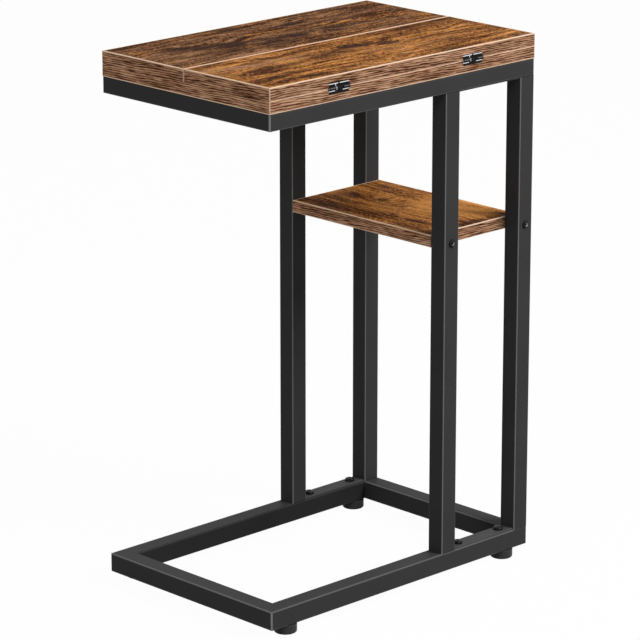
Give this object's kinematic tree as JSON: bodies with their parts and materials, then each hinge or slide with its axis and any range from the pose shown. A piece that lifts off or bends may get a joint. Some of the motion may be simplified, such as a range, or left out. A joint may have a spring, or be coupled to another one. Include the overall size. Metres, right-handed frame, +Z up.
{
  "type": "c-shaped side table",
  "caption": "C-shaped side table on a black square-tube frame, with wood-look boards, a shelf between the posts, a top that flips out over its long edges and screw-in feet.",
  "frame": {"origin": "on the floor, under the middle of the table", "axes": "+Z up, X along the long edge with the posts at +X and the open end at -X, -Y the front edge"},
  "size_m": [0.46, 0.3058, 0.6924],
  "materials": {
    "black_frame": "fine matt black powder coat",
    "board_face": "chipboard with a rustic brown wood-print melamine face",
    "board_edge": "wood-print plastic edge strip with paler trimmed corners",
    "black_hardware": "glossy black plated steel",
    "zinc_steel": "bright zinc plating",
    "foot_plastic": "moulded black plastic"
  },
  "bodies": {
    "back_leaf": {"back_flip_leaf": "board_face", "back_flip_leaf_edge_strips": "board_edge", "back_leaf_hinge_screws": "black_hardware", "back_left_hinge_moving_plate": "black_hardware", "back_right_hinge_moving_plate": "black_hardware"},
    "table_frame": {"back_foot_strip": "black_frame", "back_head_strip": "black_frame", "back_inner_post": "black_frame", "back_left_hinge_fixed_plate": "black_hardware", "back_left_hinge_pin": "zinc_steel", "back_outer_post": "black_frame", "back_right_hinge_fixed_plate": "black_hardware", "back_right_hinge_pin": "zinc_steel", "base_back_rail": "black_frame", "base_bolts": "black_hardware", "base_front_rail": "black_frame", "base_open_end_rail": "black_frame", "base_post_end_rail": "black_frame", "base_weld_nuts": "zinc_steel", "fixed_hinge_screws": "black_hardware", "fixed_top_board": "board_face", "fixed_top_board_edge_strips": "board_edge", "foot_weld_nuts": "zinc_steel", "front_foot_strip": "black_frame", "front_head_strip": "black_frame", "front_inner_post": "black_frame", "front_left_hinge_fixed_plate": "black_hardware", "front_left_hinge_pin": "zinc_steel", "front_outer_post": "black_frame", "front_right_hinge_fixed_plate": "black_hardware", "front_right_hinge_pin": "zinc_steel", "head_bolts": "black_hardware", "head_weld_nuts": "zinc_steel", "shelf_board": "board_face", "shelf_board_edge_strips": "board_edge", "shelf_bolts": "black_hardware", "shelf_inserts": "zinc_steel", "top_back_rail": "black_frame", "top_board_screws": "zinc_steel", "top_front_rail": "black_frame", "top_open_end_rail": "black_frame", "top_post_end_rail": "black_frame"},
    "back_open_foot": {"back_open_foot_pad": "foot_plastic", "back_open_foot_stud": "zinc_steel"},
    "back_post_foot": {"back_post_foot_pad": "foot_plastic", "back_post_foot_stud": "zinc_steel"},
    "front_leaf": {"front_flip_leaf": "board_face", "front_flip_leaf_edge_strips": "board_edge", "front_leaf_hinge_screws": "black_hardware", "front_left_hinge_moving_plate": "black_hardware", "front_right_hinge_moving_plate": "black_hardware"},
    "front_open_foot": {"front_open_foot_pad": "foot_plastic", "front_open_foot_stud": "zinc_steel"},
    "front_post_foot": {"front_post_foot_pad": "foot_plastic", "front_post_foot_stud": "zinc_steel"}
  },
  "joints": [
    {"name": "front_leaf_flip", "type": "hinge", "parent": "table_frame", "child": "front_leaf", "pos_m": [0, -0.1503, 0.6762], "axis": [1, 0, 0], "range_deg": [0, 180]},
    {"name": "back_leaf_flip", "type": "hinge", "parent": "table_frame", "child": "back_leaf", "pos_m": [0, 0.1503, 0.6762], "axis": [-1, 0, 0], "range_deg": [0, 180]},
    {"name": "front_open_foot_level", "type": "slide", "parent": "table_frame", "child": "front_open_foot", "axis": [0, 0, -1], "range_m": [0, 0.008]},
    {"name": "front_post_foot_level", "type": "slide", "parent": "table_frame", "child": "front_post_foot", "axis": [0, 0, -1], "range_m": [0, 0.008]},
    {"name": "back_open_foot_level", "type": "slide", "parent": "table_frame", "child": "back_open_foot", "axis": [0, 0, -1], "range_m": [0, 0.008]},
    {"name": "back_post_foot_level", "type": "slide", "parent": "table_frame", "child": "back_post_foot", "axis": [0, 0, -1], "range_m": [0, 0.008]}
  ]
}
